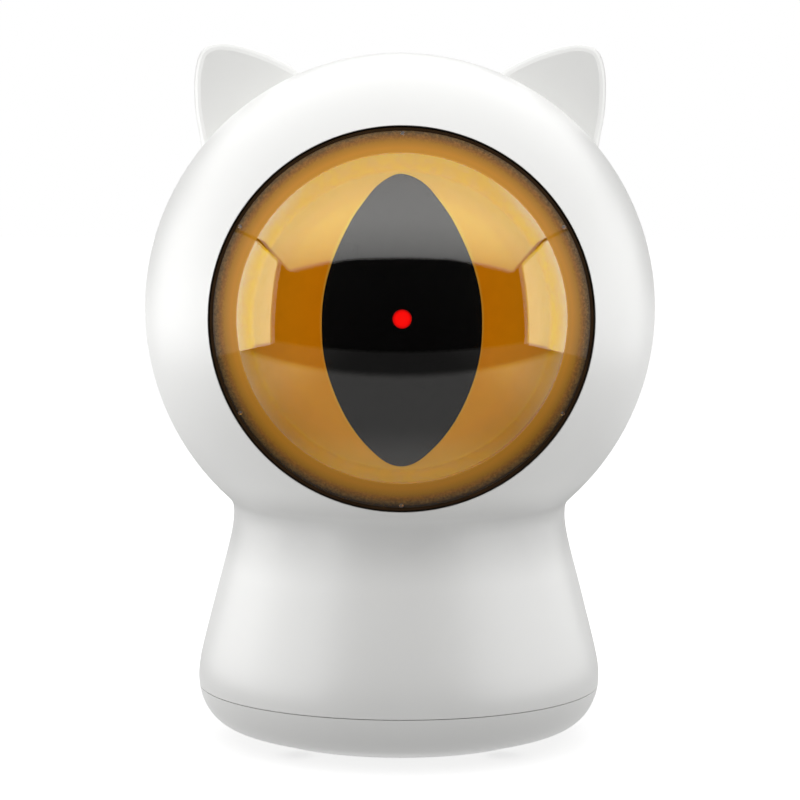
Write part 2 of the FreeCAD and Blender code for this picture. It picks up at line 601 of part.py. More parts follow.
sector_full = gear(SECTOR_TEETH, SEC_X1 - SEC_X0, 0.0)      # a tooth towards +Y
wedge = Part.Face(Part.makePolygon([V(0, 0, 0), V(30, -30 * math.tan(math.radians(SEC_HALF)), 0),
                                    V(30, 30 * math.tan(math.radians(SEC_HALF)), 0), V(0, 0, 0)])).extrude(V(0, 0, 10))
sector = sector_full.common(wedge)
slot_ = Part.Face(Part.makePolygon([V(6.2, -2.3, 0), V(11.3, -4.8, 0), V(11.3, 4.8, 0), V(6.2, 2.3, 0),
                                    V(6.2, -2.3, 0)])).extrude(V(0, 0, 10))
sector = sector.cut(slot_)
sector = to_x_axis(sector, SEC_X0)
sector = sector.fuse(x_cyl(4.4, SEC_X0, 34).common(ball(EYE_R - EYE_WALL - 0.03)))
sector = sector.cut(x_cyl(1.0 + RUN, 0, 60))
save("tilt_sector", sector)

tilt_pinion = to_x_axis(gear(PINION_TEETH, 3.0, 180.0 + pin_step / 2), 21.7)
tilt_pinion = tilt_pinion.fuse(x_cyl(0.75, 15.6, 22.0))
tilt_pinion.translate(V(0, M_Y, 0))
save("tilt_pinion", tilt_pinion)

# ---------------------------------------------------------------------------
# chassis plate, bush, pan motor
# ---------------------------------------------------------------------------
PLATE_R = 25.3
plate = cyl(PLATE_R, PLATE_Z1 - PLATE_Z0, (0, 0, PLATE_Z0))
plate = plate.cut(cyl(3.2, 10, (0, 0, 20))).cut(cyl(2.6, 10, (0, -PAN_C, 20)))
for s in (-1, 1):
    plate = plate.cut(box(min(s * 24.2, s * 30), max(s * 24.2, s * 30), SPLIT_Y - 2.4, SPLIT_Y + 3.2, 20, 40))
for a in (20, 160, 62, 118):
    r0 = 15.0
    plate = plate.cut(cyl(2.7, 10, (r0 * math.cos(math.radians(a)), r0 * math.sin(math.radians(a)), 20)))
EAR_X = 9.0
chassis_screws, motor_screws = [], []
for sx in (-1, 1):
    for sy in (-1, 1):
        plate = plate.cut(cyl(1.0, 10, (sx * COL, sy * COL, 20)))
        s = cyl(0.85, 7.0, (sx * COL, sy * COL, PLATE_Z1 - 7.0)).fuse(cyl(1.7, 1.1, (sx * COL, sy * COL, PLATE_Z1)))
        s = s.cut(box(sx * COL - 1.2, sx * COL + 1.2, sy * COL - 0.2, sy * COL + 0.2, PLATE_Z1 + 0.6, PLATE_Z1 + 2))
        chassis_screws.append(s)
    plate = plate.cut(cyl(0.8, 10, (sx * EAR_X, -PAN_C, 20)))
    motor_screws.append(cyl(0.75, 3.6, (sx * EAR_X, -PAN_C, 25.3)).fuse(cyl(1.5, 0.9, (sx * EAR_X, -PAN_C, PLATE_Z1))))
save("chassis_plate", plate)
save("chassis_screws", compound(chassis_screws))
save("motor_screws", compound(motor_screws))
bush = cyl(3.2, 2.8, (0, 0, 26.0)).fuse(cyl(4.6, 0.6, (0, 0, PLATE_Z1))).cut(cyl(SHAFT_R + RUN, 20, (0, 0, 20)))
save("pan_bush", bush)

pan_motor = fuse(cyl(7.0, 11.0, (0, -PAN_C, 15.8)),
                 cyl(2.55, 1.2, (0, -PAN_C, 26.7)),
                 box(-11.0, 11.0, -PAN_C - 2.2, -PAN_C + 2.2, 25.9, 26.78))
pan_motor = pan_motor.cut(cyl(0.75 + RUN, 12, (0, -PAN_C, 22.2)))
for sx in (-1, 1):
    pan_motor = pan_motor.cut(cyl(0.78, 5, (sx * EAR_X, -PAN_C, 24)))
pan_motor = pan_motor.fuse(box(-3.0, 3.0, -PAN_C + 6.6, -PAN_C + 8.2, 17.2, 20.6))
save("pan_motor", pan_motor)

# ---------------------------------------------------------------------------
# electronics
# ---------------------------------------------------------------------------
board_pts = [(-20, -6), (20, -6), (20, 12.2), (12.2, 12.2), (12.2, 24.3), (7.0, 24.3), (7.0, 27.0),
             (-7.0, 27.0), (-7.0, 24.3), (-12.2, 24.3), (-12.2, 12.2), (-20, 12.2)]
bp = [V(x, y, PCB_Z0) for x, y in board_pts]
pcb = Part.Face(Part.makePolygon(bp + [bp[0]])).extrude(V(0, 0, PCB_Z1 - PCB_Z0))
pcb = pcb.common(fuse(cyl(24.6, 5, (0, 0, 16)), box(-5.0, 5.0, 0, 30, 16, 21)))
PCB_SCREW = [(-17.2, -1.0), (17.2, 6.5)]
for x, y in PCB_SCREW:
    pcb = pcb.cut(cyl(0.95, 5, (x, y, 16)))
LEADS = [(17.3, -3.6), (17.3, -1.2)]
for x, y in LEADS:
    pcb = pcb.cut(cyl(0.7, 5, (x, y, 16)))
MLEADS = [(-1.6, -4.2), (0.0, -4.2), (1.6, -4.2)]
for x, y in MLEADS:
    pcb = pcb.cut(cyl(0.62, 5, (x, y, 16)))
save("main_pcb", pcb)
chips = [box(-4.0, 3.0, 3.0, 10.0, PCB_Z1, PCB_Z1 + 1.0),
         box(8.0, 12.0, 1.0, 6.0, PCB_Z1, PCB_Z1 + 1.4),
         box(-12.5, -9.5, 4.0, 6.5, PCB_Z1, PCB_Z1 + 1.1),
         cyl(2.0, 4.2, (-15.8, 7.6, PCB_Z1)),
         box(-8.0, -5.2, -3.8, -1.9, PCB_Z1, PCB_Z1 + 1.2),
         box(6.0, 7.4, 12.6, 13.4, PCB_Z1, PCB_Z1 + 0.6),
         box(-6.0, -4.6, 13.0, 13.8, PCB_Z1, PCB_Z1 + 0.6),
         box(-1.0, 0.6, 13.4, 14.2, PCB_Z1, PCB_Z1 + 0.6),
         box(9.0, 10.6, 9.0, 9.8, PCB_Z1, PCB_Z1 + 0.6)]
save("board_components", compound(chips))
pcb_screws = [cyl(0.85, 4.5, (x, y, PCB_Z1 - 4.2)).fuse(cyl(1.6, 0.9, (x, y, PCB_Z1))) for x, y in PCB_SCREW]
save("board_screws", compound(pcb_screws))

# USB-C socket: rolled shell round a tongue
port = box(-4.47, 4.47, 22.2, 29.6, PORT_Z - 1.63, PORT_Z + 1.63)
port = port.makeFillet(1.55, [e for e in port.Edges if abs(e.tangentAt(e.FirstParameter).y) > 0.9])
hole = box(-4.17, 4.17, 23.2, 30, PORT_Z - 1.28, PORT_Z + 1.28)
hole = hole.makeFillet(1.22, [e for e in hole.Edges if abs(e.tangentAt(e.FirstParameter).y) > 0.9])
tongue_usb = box(-3.35, 3.35, 23.0, 28.9, PORT_Z - 0.35, PORT_Z + 0.35)
port = port.cut(hole).fuse(tongue_usb)
save("usb_socket", port)

# push button: switch body with plunger, cap that slides in the wall
tact = fuse(box(-3.0, 3.0, 20.3, 24.1, PCB_Z1, PCB_Z1 + 4.3), cyl(1.3, 1.0, (0, 24.0, CTRL_Z), (0, 1, 0)))
save("button_switch", radial(tact, BUTTON_AZ))
cap = cyl(2.5, 5.0, (0, 26.1, CTRL_Z), (0, 1, 0))
cap = cap.makeFillet(0.5, [e for e in cap.Edges if len(e.Vertexes) == 1 and e.CenterOfMass.y > 30.9])
cap = cap.cut(Part.makeSphere(9.0, V(0, 39.85, CTRL_Z)))
cap = cap.fuse(cyl(3.2, 0.6, (0, 25.9, CTRL_Z), (0, 1, 0)))
save("mode_button", radial(cap, BUTTON_AZ))

# slide switch
sw = box(-3.6, 3.6, 20.0, 24.1, PCB_Z1, PCB_Z1 + 3.9).cut(box(-2.6, 2.6, 23.4, 25, CTRL_Z - 0.9, CTRL_Z + 0.9))
save("slide_switch", radial(sw, KNOB_AZ))
knob = fuse(box(-KNOB_HW, KNOB_HW, 26.2, 30.6, CTRL_Z - 1.3, CTRL_Z + 1.3),
            box(-3.3, 3.3, 25.5, 26.2, CTRL_Z - 2.1, CTRL_Z + 2.1),
            box(-0.9, 0.9, 24.45, 25.6, CTRL_Z - 0.6, CTRL_Z + 0.6))
for k in (-0.8, 0.0, 0.8):
    knob = knob.cut(box(k - 0.18, k + 0.18, 30.25, 31, CTRL_Z - 2, CTRL_Z + 2))
knob.translate(V(-KNOB_TRAVEL / 2, 0, 0))
save("power_knob", radial(knob, KNOB_AZ))

light = cyl(1.0, 4.2, (0, 25.8, CTRL_Z), (0, 1, 0)).common(outer)
save("status_light", radial(light, LIGHT_AZ))
led = box(-0.6, 0.6, 23.2, 24.6, PCB_Z1, CTRL_Z + 0.7)
save("status_led", radial(led, LIGHT_AZ))

# battery and its cradle on the bottom cover
CX, CY = 15.0, 11.0
cell = box(-CX, CX, -CY, CY, 4.4, 13.0)
cell = cell.makeFillet(1.8, [e for e in cell.Edges if abs(e.tangentAt(e.FirstParameter).x) > 0.9])
save("battery_cell", cell)
tray = box(-CX - 1.5, CX + 1.5, -CY - 1.3, CY + 1.3, 3.52, 9.8).cut(box(-CX - 0.2, CX + 0.2, -CY - 0.2, CY + 0.2, 4.3, 20))
tray = tray.cut(box(-8, 8, -30, 30, 6.4, 12))
for x, y in PCB_SCREW:
    post = cyl(1.9, PCB_Z0 - 3.52, (x, y, 3.52))
    post = post.cut(box(-CX - 0.1, CX + 0.1, -CY - 0.1, CY + 0.1, 4.3, 13.15))
    tray = tray.fuse(post).cut(cyl(0.85, 6, (x, y, PCB_Z0 - 4.6)))
strap = box(-3.5, 3.5, -CY - 1.3, CY + 1.3, 13.15, 13.95).fuse(box(-3.5, 3.5, -CY - 1.3, -CY - 0.3, 3.52, 13.9)).fuse(
    box(-3.5, 3.5, CY + 0.3, CY + 1.3, 3.52, 13.9))
tray = tray.fuse(strap)
save("battery_cradle", tray)


def lead(points, r):
    crv = Part.BSplineCurve()
    crv.interpolate([V(*p) for p in points])
    path = Part.Wire(crv.toShape())
    t = crv.tangent(crv.FirstParameter)[0]
    prof = Part.Wire(Part.makeCircle(r, V(*points[0]), t))
    return path.makePipeShell([prof], True, True)


bl = []
for x, y in LEADS:
    bl.append(lead([(15.3, y, 10.6), (16.9, y, 11.9), (17.35, y, 14.0), (x, y, 16.6), (x, y, 18.2), (x, y, 19.9)], 0.42))
save("battery_leads", compound(bl))
ml = []
for x, y in MLEADS:
    ml.append(lead([(x, -PAN_C + 8.55, 19.6), (x, -6.9, 20.9), (x, -5.0, 21.2), (x, y, 20.0), (x, y, 19.0), (x, y, 18.0)], 0.36))
save("motor_leads", compound(ml))
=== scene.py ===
import math

import bpy
from mathutils import Matrix, Vector

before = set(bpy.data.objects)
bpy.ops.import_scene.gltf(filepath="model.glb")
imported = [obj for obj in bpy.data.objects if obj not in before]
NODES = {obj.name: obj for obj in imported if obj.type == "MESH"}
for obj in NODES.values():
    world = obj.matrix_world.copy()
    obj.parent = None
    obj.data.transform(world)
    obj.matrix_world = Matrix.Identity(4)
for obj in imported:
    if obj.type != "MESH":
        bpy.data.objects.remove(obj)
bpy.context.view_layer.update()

HEAD = Vector((0.0, 0.0, 0.06853))       # centre of the ball-shaped head
LENS = Vector((0.0, 0.0179, 0.06853))    # centre of the dome's outer sphere


def lin(r, g, b):
    """An sRGB colour, 0 to 255, as the linear colour Blender takes."""
    out = []
    for c in (r, g, b):
        c /= 255.0
        out.append(c / 12.92 if c <= 0.04045 else ((c + 0.055) / 1.055) ** 2.4)
    return (*out, 1.0)


# ------------------------------------------------------------------ node help

class Mat:
    """A material with a Principled shader and short calls for its nodes."""

    def __init__(self, name):
        self.m = bpy.data.materials.new(name)
        self.m.use_nodes = True
        self.nt = self.m.node_tree
        self.p = self.nt.nodes["Principled BSDF"]
        self.out = self.nt.nodes["Material Output"]
        self.co = self.nt.nodes.new("ShaderNodeTexCoord").outputs["Object"]

    def new(self, kind, **props):
        n = self.nt.nodes.new(kind)
        for k, v in props.items():
            setattr(n, k, v)
        return n

    def link(self, a, b):
        self.nt.links.new(a, b)

    def set(self, **vals):
        for k, v in vals.items():
            self.p.inputs[k.replace("_", " ")].default_value = v
        return self

    def noise(self, scale, detail=2.0, rough=0.5, stretch=None, vec=None, distortion=0.0):
        vec = vec or self.co
        if stretch:
            mp = self.new("ShaderNodeMapping")
            mp.inputs["Scale"].default_value = stretch
            self.link(vec, mp.inputs["Vector"])
            vec = mp.outputs["Vector"]
        n = self.new("ShaderNodeTexNoise")
        n.inputs["Scale"].default_value = scale
        n.inputs["Detail"].default_value = detail
        n.inputs["Roughness"].default_value = rough
        n.inputs["Distortion"].default_value = distortion
        self.link(vec, n.inputs["Vector"])
        return n.outputs["Fac"]

    def voronoi(self, scale, feature="F1", rand=1.0):
        n = self.new("ShaderNodeTexVoronoi", feature=feature)
        n.inputs["Scale"].default_value = scale
        n.inputs["Randomness"].default_value = rand
        self.link(self.co, n.inputs["Vector"])
        return n.outputs["Distance"]

    def math(self, op, a, b=None, clamp=False):
        n = self.new("ShaderNodeMath", operation=op, use_clamp=clamp)
        for i, v in enumerate((a, b)):
            if v is None:
                continue
            if isinstance(v, (int, float)):
                n.inputs[i].default_value = v
            else:
                self.link(v, n.inputs[i])
        return n.outputs[0]

    def remap(self, v, a, b, lo=0.0, hi=1.0, smooth=False):
        n = self.new("ShaderNodeMapRange", clamp=True)
        if smooth:
            n.interpolation_type = "SMOOTHSTEP"
        n.inputs["From Min"].default_value = a
        n.inputs["From Max"].default_value = b
        n.inputs["To Min"].default_value = lo
        n.inputs["To Max"].default_value = hi
        self.link(v, n.inputs["Value"])
        return n.outputs["Result"]

    def ramp(self, v, stops, ease=False):
        n = self.new("ShaderNodeValToRGB")
        cr = n.color_ramp
        if ease:
            cr.interpolation = "EASE"
        cr.elements[0].position, cr.elements[0].color = stops[0][0], stops[0][1]
        cr.elements[1].position, cr.elements[1].color = stops[-1][0], stops[-1][1]
        for pos, col in stops[1:-1]:
            e = cr.elements.new(pos)
            e.color = col
        self.link(v, n.inputs["Fac"])
        return n.outputs["Color"]

    def mix(self, fac, a, b, blend="MIX"):
        n = self.new("ShaderNodeMix", data_type="RGBA", blend_type=blend)
        if isinstance(fac, (int, float)):
            n.inputs["Factor"].default_value = fac
        else:
            self.link(fac, n.inputs["Factor"])
        for i, v in ((6, a), (7, b)):
            if isinstance(v, tuple):
                n.inputs[i].default_value = v
            else:
                self.link(v, n.inputs[i])
        return n.outputs[2]

    def xyz(self, vec=None):
        n = self.new("ShaderNodeSeparateXYZ")
        self.link(vec or self.co, n.inputs[0])
        return n.outputs[0], n.outputs[1], n.outputs[2]

    def from_point(self, point):
        """Vector from a point of the node's own frame."""
        n = self.new("ShaderNodeVectorMath", operation="SUBTRACT")
        self.link(self.co, n.inputs[0])
        n.inputs[1].default_value = tuple(point)
        return n.outputs["Vector"]

    def bump(self, height, strength, distance, normal=None):
        n = self.new("ShaderNodeBump")
        n.inputs["Strength"].default_value = strength
        n.inputs["Distance"].default_value = distance
        self.link(height, n.inputs["Height"])
        if normal is not None:
            self.link(normal, n.inputs["Normal"])
        return n.outputs["Normal"]

    def colour(self, sock):
        self.link(sock, self.p.inputs["Base Color"])
        return self

    def rough(self, sock):
        self.link(sock, self.p.inputs["Roughness"])
        return self

    def normal(self, sock):
        self.link(sock, self.p.inputs["Normal"])
        return self


def axis_radius(m, centre=HEAD):
    """Distance from the eye's axis, in the eye's own frame (the axis runs along Y)."""
    x, y, z = m.xyz(m.from_point(centre))
    return m.math("SQRT", m.math("ADD", m.math("MULTIPLY", x, x), m.math("MULTIPLY", z, z)))


# ------------------------------------------------------------------ materials

def moulded(name, base, vary=0.02, rough=(0.36, 0.44), grain=0.06, grain_scale=5200.0, spec=0.5):
    """Injection-moulded plastic: faint flow clouds, fine spark-eroded grain."""
    m = Mat(name)
    cloud = m.noise(46.0, 3.0, 0.55, distortion=0.4)
    a = tuple(c * (1 - vary) for c in base[:3]) + (1.0,)
    b = tuple(min(1.0, c * (1 + vary)) for c in base[:3]) + (1.0,)
    m.colour(m.ramp(cloud, [(0.3, a), (0.7, b)]))
    fine = m.noise(grain_scale, 2.0, 0.6)
    m.rough(m.remap(m.math("ADD", m.math("MULTIPLY", fine, 0.5), m.math("MULTIPLY", cloud, 0.5)),
                    0.3, 0.7, rough[0], rough[1]))
    m.normal(m.bump(fine, grain, 0.00006))
    m.p.inputs["Specular IOR Level"].default_value = spec
    return m


def white_shell():
    m = moulded("white_satin_plastic", lin(244, 244, 242), 0.010, (0.33, 0.40), 0.05, spec=0.7)
    # painted shadow: a thin dark ring on the chamfer of the eye's opening carries on the dark gap round the dome
    ax = axis_radius(m)
    x, y, z = m.xyz()
    white = m.p.inputs["Base Color"].links[0].from_socket
    # painted shade in the hollow of the neck under the head: the white is darkened there, more at the sides and towards
    # the front
    up = m.remap(z, 0.0270, 0.0350, 0.0, 1.0, smooth=True)
    down = m.remap(z, 0.0360, 0.0430, 1.0, 0.0, smooth=True)
    shade_mottle = m.remap(m.noise(90.0, 3.0, 0.6), 0.3, 0.7, 0.9, 1.1)
    sides = m.remap(m.math("ABSOLUTE", x), 0.008, 0.022, 0.16, 0.24, smooth=True)
    ahead = m.remap(y, -0.004, 0.010, 1.0, 0.6, smooth=True)
    neck_shade = m.math("MULTIPLY", m.math("MULTIPLY", up, down), m.math("MULTIPLY", shade_mottle, m.math("MULTIPLY", sides, ahead)))
    white = m.mix(neck_shade, white, (0.0, 0.0, 0.0, 1.0))
    # the ring of painted shadow on the chamfer of the opening
    chamfer_shadow = m.math("MULTIPLY", m.remap(ax, 0.02887, 0.02893, 1.0, 0.0), m.remap(y, -0.0250, -0.0240, 1.0, 0.0))
    m.colour(m.mix(chamfer_shadow, white, (0.014, 0.008, 0.003, 1.0)))
    return m.m


def rubber(name, base, rough=0.82, spec=0.5):
    m = Mat(name)
    grit = m.noise(6500.0, 3.0, 0.7)
    wear = m.noise(180.0, 4.0, 0.6)
    d = tuple(c * 0.7 for c in base[:3]) + (1.0,)
    l = tuple(min(1, c * 1.35 + 0.002) for c in base[:3]) + (1.0,)
    m.colour(m.ramp(wear, [(0.3, d), (0.72, l)]))
    m.rough(m.remap(grit, 0.3, 0.7, rough - 0.1, min(1.0, rough + 0.1)))
    m.normal(m.bump(grit, 0.25, 0.00008))
    m.p.inputs["Specular IOR Level"].default_value = spec
    return m.m


def metal(name, base, rough=(0.22, 0.4), stretch=(1, 1, 14), scale=2600.0):
    m = Mat(name)
    brush = m.noise(scale, 3.0, 0.6, stretch=stretch)
    d = tuple(c * 0.86 for c in base[:3]) + (1.0,)
    m.colour(m.ramp(brush, [(0.25, d), (0.75, base)]))
    m.rough(m.remap(brush, 0.3, 0.7, rough[0], rough[1]))
    m.normal(m.bump(brush, 0.08, 0.00003))
    m.p.inputs["Metallic"].default_value = 1.0
    return m.m


DISC = 0.02456     # radius of the dome's polished window; outside it the dome is frosted and dark


GILT = (1.0, 0.90, 0.03, 1.0)
GILT_SHARE = 0.170


def beside(m, a=0.012, b=0.019):
    """0 above and below the eye's centre, 1 at its left and right."""
    x, y, z = m.xyz(m.from_point(HEAD))
    return m.remap(m.math("ABSOLUTE", x), a, b, 0.0, 1.0, smooth=True)


def dome_clear():
    """Clear acrylic dome: both faces of its window mirror a little and the eye shows through.
    The rim outside the window is lacquered, amber running out to flecked dark brown."""
    m = Mat("clear_acrylic_dome")
    r = axis_radius(m, HEAD + Vector((0.0, 0.0, 0.0003)))
    window = m.remap(r, DISC - 0.00006, DISC + 0.00006, 1.0, 0.0)
    facing = m.new("ShaderNodeLayerWeight")
    facing.inputs["Blend"].default_value = 0.5
    edge = m.math("MULTIPLY", m.math("POWER", facing.outputs["Facing"], 5.0), 0.9)
    back = m.new("ShaderNodeNewGeometry").outputs["Backfacing"]
    ax = axis_radius(m)
    outer_zone = m.remap(ax, 0.0218, 0.0228, 0.0, 1.0, smooth=True)
    inner_face = m.remap(outer_zone, 0.0, 1.0, 0.031, 0.012)
    face = m.math("ADD", m.math("MULTIPLY", back, inner_face), m.math("MULTIPLY", m.math("SUBTRACT", 1.0, back), 0.046))
    share = m.math("ADD", edge, face, clamp=True)
    # faint polishing haze and moulding waves
    haze = m.noise(700.0, 4.0, 0.6)
    wave = m.noise(60.0, 1.0, 0.4)
    ripple = m.bump(wave, 0.015, 0.00003)
    gloss = m.new("ShaderNodeBsdfGlossy")
    gloss.inputs["Color"].default_value = (1.0, 1.0, 1.0, 1.0)
    m.link(m.remap(haze, 0.45, 0.8, 0.0, 0.02), gloss.inputs["Roughness"])
    m.link(ripple, gloss.inputs["Normal"])
    clear = m.new("ShaderNodeBsdfTransparent")
    tint = m.ramp(haze, [(0.3, (0.985, 0.975, 0.955, 1)), (0.7, (0.99, 0.982, 0.965, 1))])
    m.link(tint, clear.inputs["Color"])
    mix = m.new("ShaderNodeMixShader")
    m.link(share, mix.inputs[0])
    m.link(clear.outputs[0], mix.inputs[1])
    m.link(gloss.outputs[0], mix.inputs[2])
    # the gilt edge of the window is on the inner face
    gilt = m.new("ShaderNodeBsdfGlossy")
    pale = m.ramp(m.remap(ax, 0.0228, 0.0246), [(0.0, (1.0, 0.76, 0.02, 1)), (0.45, (1.0, 0.78, 0.14, 1)),
                                                (1.0, (1.0, 0.86, 0.46, 1))])
    m.link(m.mix(beside(m), (1.0, 0.70, 0.0, 1.0), pale), gilt.inputs["Color"])
    gilt.inputs["Roughness"].default_value = 0.03
    ring_share = m.math("MULTIPLY", outer_zone, 0.225)
    mix2 = m.new("ShaderNodeMixShader")
    m.link(m.math("MULTIPLY", ring_share, back), mix2.inputs[0])
    m.link(mix.outputs[0], mix2.inputs[1])
    m.link(gilt.outputs[0], mix2.inputs[2])
    # lacquered rim
    fleck = m.noise(2600.0, 4.0, 0.75)
    flecks = m.remap(fleck, 0.42, 0.72, 0.62, 1.75)
    flecks = m.math("ADD", m.math("MULTIPLY", m.remap(r, 0.0262, 0.0276, 0.0, 1.0), m.math("SUBTRACT", flecks, 1.0)), 1.0)
    print_ = m.ramp(m.remap(r, 0.0245, 0.02815), [
        (0.0, (1.0, 0.47, 0.07, 1)), (0.06, (0.66, 0.285, 0.018, 1)), (0.24, (0.66, 0.272, 0.016, 1)),
        (0.52, (0.46, 0.203, 0.012, 1)), (0.68, (0.31, 0.125, 0.016, 1)), (0.86, (0.165, 0.088, 0.022, 1)),
        (0.95, (0.09, 0.050, 0.014, 1)), (1.0, (0.026, 0.012, 0.002, 1))])
    n = m.new("ShaderNodeVectorMath", operation="SCALE")
    m.link(print_, n.inputs[0])
    # the print is painted darker towards the bottom: painted shade, as the light falls from above
    hx, hy, hz = m.xyz(m.from_point(HEAD))
    m.link(m.math("MULTIPLY", flecks, m.remap(hz, -0.016, 0.002, 0.76, 1.0, smooth=True)), n.inputs["Scale"])
    m.colour(n.outputs["Vector"])
    m.rough(m.remap(haze, 0.3, 0.7, 0.035, 0.06))
    m.p.inputs["Specular IOR Level"].default_value = 0.15
    # clear spots over the six locating pins
    x, y, z = m.xyz(m.from_point(HEAD))
    spots = None
    for k in range(6):
        a = math.radians(30 + 60 * k)
        dx = m.math("SUBTRACT", x, 0.0278 * math.cos(a))
        dz = m.math("SUBTRACT", z, 0.0278 * math.sin(a))
        d = m.math("ADD", m.math("MULTIPLY", dx, dx), m.math("MULTIPLY", dz, dz))
        spots = d if spots is None else m.math("MINIMUM", spots, d)
    lacquer = m.math("MULTIPLY", m.remap(window, 0.0, 1.0, 1.0, 0.0), m.remap(spots, 0.00026 ** 2, 0.00036 ** 2, 0.0, 0.97))
    # it lies on the outer face only and lets the light inside out and in
    depth = m.new("ShaderNodeVectorMath", operation="LENGTH")
    m.link(m.from_point(LENS), depth.inputs[0])
    outside = m.remap(depth.outputs["Value"], 0.0534, 0.0536, 0.0, 1.0)
    lacquer = m.math("MULTIPLY", m.math("MULTIPLY", lacquer, outside), m.math("SUBTRACT", 1.0, back))
    last = m.new("ShaderNodeMixShader")
    m.link(lacquer, last.inputs[0])
    m.link(mix2.outputs[0], last.inputs[1])
    m.link(m.p.outputs[0], last.inputs[2])
    m.link(last.outputs[0], m.out.inputs["Surface"])
    return m.m


def lens_normal(m, radius=0.0554):
    """The eye's face is lacquered to the dome's curve: its normal is that of a sphere of the given radius."""
    x, y, z = m.xyz(m.from_point(HEAD))
    r2 = m.math("ADD", m.math("MULTIPLY", x, x), m.math("MULTIPLY", z, z))
    s = m.math("SQRT", m.math("SUBTRACT", radius * radius, r2))
    c = m.new("ShaderNodeCombineXYZ")
    m.link(x, c.inputs[0])
    m.link(m.math("MULTIPLY", s, -1.0), c.inputs[1])
    m.link(z, c.inputs[2])
    n = m.new("ShaderNodeVectorMath", operation="NORMALIZE")
    m.link(c.outputs[0], n.inputs[0])
    t = m.new("ShaderNodeVectorTransform", vector_type="NORMAL", convert_from="OBJECT", convert_to="WORLD")
    m.link(n.outputs["Vector"], t.inputs["Vector"])
    return t.outputs["Vector"]


def slit_ratio(m, half_w=0.01185, half_h=0.0220, dz=-0.0003):
    """1 on the outline of the slit pupil, less inside, more outside."""
    x, y, z = m.xyz(m.from_point(HEAD + Vector((0, 0, dz))))
    t = m.math("DIVIDE", z, half_h)
    k = m.math("SUBTRACT", 1.0, m.math("MINIMUM", m.math("MULTIPLY", t, t), 0.995))
    w = m.math("MULTIPLY", m.math("POWER", k, 0.65), half_w)
    return m.math("DIVIDE", m.math("ABSOLUTE", x), w)


def iris_amber():
    m = Mat("iris_amber_lacquer")
    r = axis_radius(m)
    # the amber is painted lighter towards the disc's edge: painted light that makes up for the shade the deep recess
    # casts there
    base = m.ramp(m.remap(r, 0.0, 0.02505), [
        (0.0, (0.94, 0.285, 0.0016, 1)), (0.5, (0.96, 0.30, 0.002, 1)), (0.8, (1.0, 0.35, 0.004, 1)),
        (0.93, (1.0, 0.385, 0.008, 1)), (0.975, (1.0, 0.44, 0.012, 1)), (1.0, (1.0, 0.50, 0.02, 1))])
    mottled = m.noise(420.0, 4.0, 0.6)
    tone = m.remap(mottled, 0.3, 0.7, 0.97, 1.03)
    n = m.new("ShaderNodeVectorMath", operation="SCALE")
    m.link(base, n.inputs[0])
    m.link(tone, n.inputs["Scale"])
    # a thin light edge where the disc is cut for the slit
    rim = m.remap(slit_ratio(m), 1.0, 1.035, 1.0, 0.0)
    hx, hy, hz = m.xyz(m.from_point(HEAD + Vector((0, 0, -0.0003))))
    rim = m.math("MULTIPLY", rim, m.remap(m.math("ABSOLUTE", hz), 0.0219, 0.0222, 1.0, 0.0))
    m.colour(m.mix(m.math("MULTIPLY", rim, 0.55), n.outputs["Vector"], (1.0, 0.62, 0.10, 1.0)))
    m.set(Roughness=0.45)
    m.p.inputs["Specular IOR Level"].default_value = 0.0
    fine = m.noise(3000.0, 2.0, 0.5)
    m.normal(m.bump(fine, 0.05, 0.00003, lens_normal(m, 0.2)))
    gloss = m.new("ShaderNodeBsdfGlossy")
    m.link(m.mix(beside(m, 0.015, 0.020), GILT, (1.0, 0.92, 0.13, 1.0)), gloss.inputs["Color"])
    gloss.inputs["Roughness"].default_value = 0.03
    m.link(lens_normal(m), gloss.inputs["Normal"])
    mix = m.new("ShaderNodeMixShader")
    k = 0.02503 / DISC
    low = axis_radius(m, HEAD - Vector((0.0, 0.0, 0.00045)))
    m.link(m.math("MULTIPLY", m.remap(low, 0.0218 * k, 0.0228 * k, 1.0, 0.0, smooth=True), GILT_SHARE), mix.inputs[0])
    m.link(m.p.outputs[0], mix.inputs[1])
    m.link(gloss.outputs[0], mix.inputs[2])
    m.link(mix.outputs[0], m.out.inputs["Surface"])
    return m.m


def pupil_black():
    m = Mat("pupil_black")
    fine = m.noise(2600.0, 3.0, 0.6)
    m.colour(m.ramp(fine, [(0.3, (0.0008, 0.0008, 0.0009, 1)), (0.8, (0.002, 0.002, 0.0021, 1))]))
    m.rough(m.remap(fine, 0.3, 0.7, 0.55, 0.7))
    m.normal(m.bump(fine, 0.05, 0.00003))
    m.p.inputs["Specular IOR Level"].default_value = 0.02
    gloss = m.new("ShaderNodeBsdfGlossy")
    gloss.inputs["Roughness"].default_value = 0.03
    m.link(lens_normal(m), gloss.inputs["Normal"])
    mix = m.new("ShaderNodeMixShader")
    mix.inputs[0].default_value = 0.019
    m.link(m.p.outputs[0], mix.inputs[1])
    m.link(gloss.outputs[0], mix.inputs[2])
    m.link(mix.outputs[0], m.out.inputs["Surface"])
    return m.m


